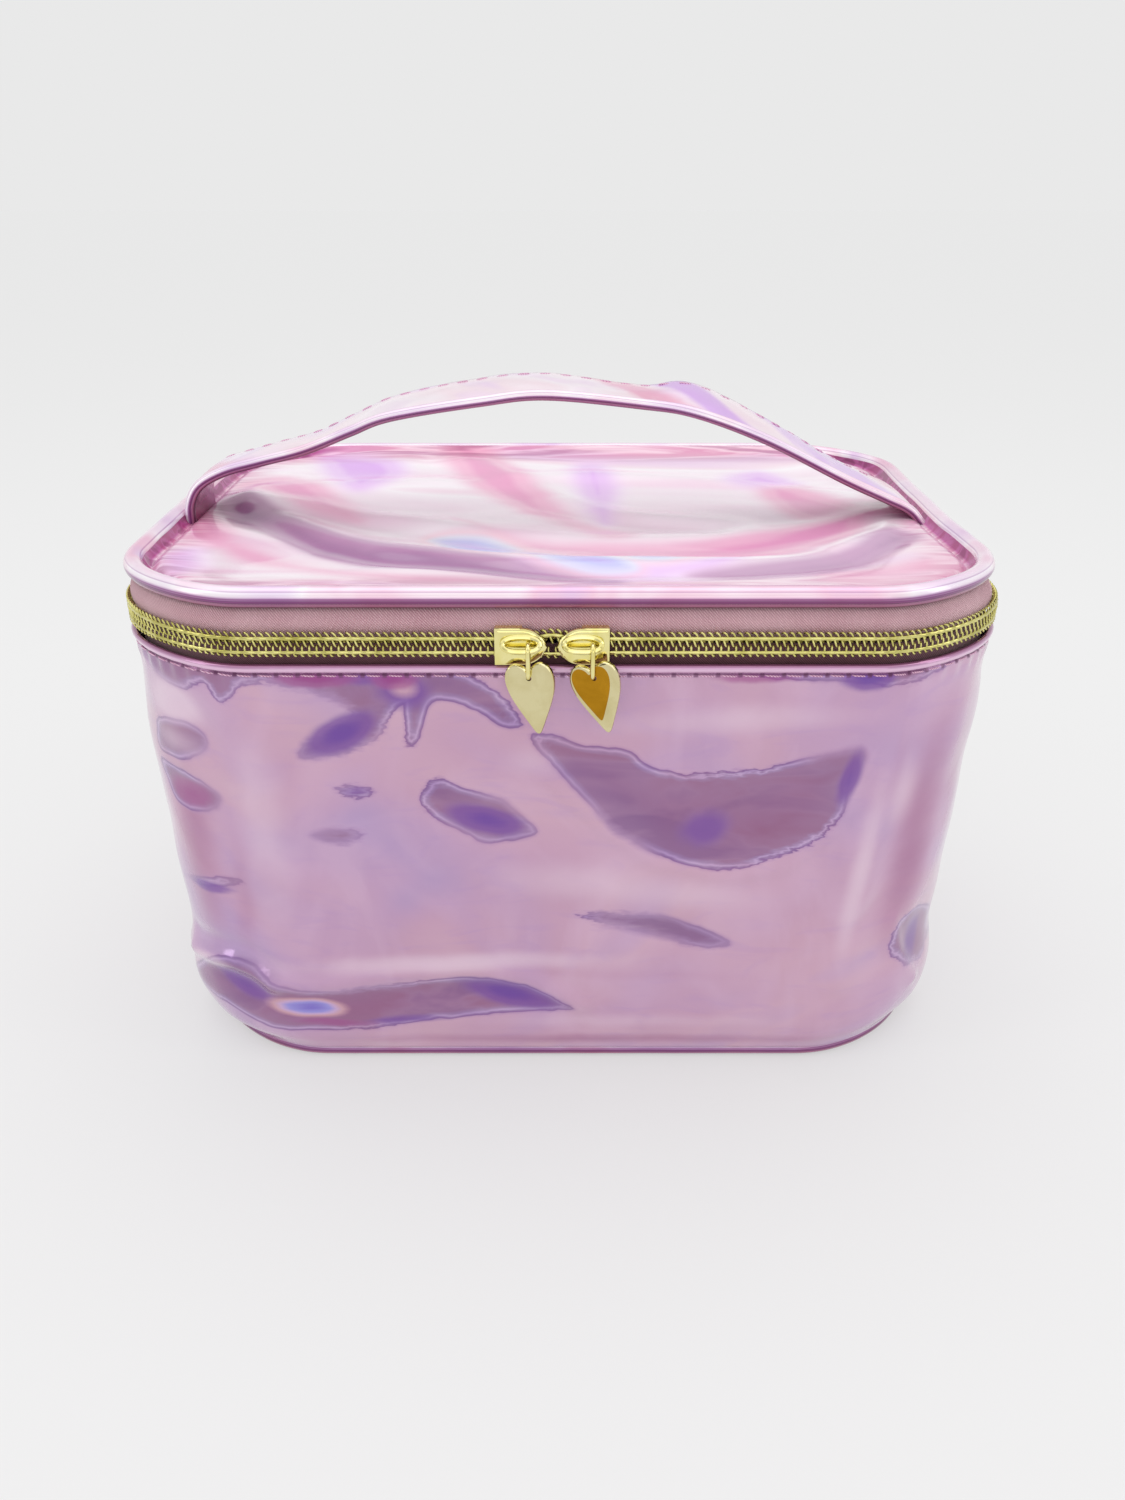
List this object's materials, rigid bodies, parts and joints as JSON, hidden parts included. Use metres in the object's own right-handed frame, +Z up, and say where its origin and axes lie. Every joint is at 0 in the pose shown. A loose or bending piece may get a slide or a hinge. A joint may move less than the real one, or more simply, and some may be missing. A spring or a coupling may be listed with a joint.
{
  "type": "makeup train case",
  "caption": "Soft box-shaped makeup train case in iridescent pink film, zip-round hinged lid, top strap handle and heart-shaped zipper pulls.",
  "frame": {"origin": "centre of the base's underside, on the surface that the case stands on", "axes": "+Z up towards the handle, front with the zipper pulls faces -Y, X along the width with +X to the right seen from the front"},
  "size_m": [0.2124, 0.1566, 0.1712],
  "materials": {
    "film": "iridescent pink PVC film with a mirror-like sheen",
    "piping_film": "same film rolled over a cord",
    "foam": "white foam sheet",
    "board": "stiff plastic board",
    "lining": "thin woven pink lining",
    "binding": "woven pink ribbon",
    "tape": "dusty pink woven zipper tape",
    "coil_gold": "metallised gold coil",
    "thread": "pink sewing thread",
    "gold": "polished pale gold plating"
  },
  "bodies": {
    "body": {"wall_film": "film", "wall_foam": "foam", "base_panel": "film", "base_board": "board", "base_piping": "piping_film", "body_lining": "lining", "body_binding": "binding", "lower_zipper_tape": "tape", "lower_zipper_coil": "coil_gold", "hinge_strip_lower": "film", "hem_stitches": "thread"},
    "lid": {"lid_film": "film", "lid_foam": "foam", "lid_lining": "lining", "lid_piping": "piping_film", "lid_binding": "binding", "upper_zipper_tape": "tape", "upper_zipper_coil": "coil_gold", "hinge_strip_upper": "film", "handle_tab_left": "film", "handle_tab_right": "film"},
    "handle": {"handle_backing": "film", "handle_core": "foam", "handle_cover": "film", "handle_piping": "piping_film", "handle_stitches": "thread"},
    "left_slider": {"left_slider": "gold"},
    "right_slider": {"right_slider": "gold"},
    "left_ring": {"left_ring": "gold"},
    "right_ring": {"right_ring": "gold"},
    "left_heart": {"left_heart": "gold"},
    "right_heart": {"right_heart": "gold"}
  },
  "joints": [
    {"name": "lid_hinge", "type": "hinge", "parent": "body", "child": "lid", "pos_m": [0, 0.073, 0.127], "axis": [-1, 0, 0], "range_deg": [0, 110]},
    {"name": "handle_swing", "type": "hinge", "parent": "lid", "child": "handle", "pos_m": [0, 0, 0.142], "axis": [1, 0, 0], "range_deg": [-60, 60]},
    {"name": "left_slider_slide", "type": "slide", "parent": "body", "child": "left_slider", "axis": [-1, 0, 0], "range_m": [0, 0.055]},
    {"name": "right_slider_slide", "type": "slide", "parent": "body", "child": "right_slider", "axis": [1, 0, 0], "range_m": [0, 0.06]},
    {"name": "left_ring_swing", "type": "hinge", "parent": "left_slider", "child": "left_ring", "pos_m": [-0.0075, -0.07915, 0.127], "axis": [-1, 0, 0], "range_deg": [0, 120]},
    {"name": "left_heart_swing", "type": "hinge", "parent": "left_ring", "child": "left_heart", "pos_m": [-0.0075, -0.07915, 0.12235], "axis": [-1, 0, 0], "range_deg": [-12, 60]},
    {"name": "right_ring_swing", "type": "hinge", "parent": "right_slider", "child": "right_ring", "pos_m": [0.0066, -0.07915, 0.127], "axis": [-1, 0, 0], "range_deg": [0, 120]},
    {"name": "right_heart_swing", "type": "hinge", "parent": "right_ring", "child": "right_heart", "pos_m": [0.0066, -0.07915, 0.12235], "axis": [-1, 0, 0], "range_deg": [-12, 60]}
  ]
}
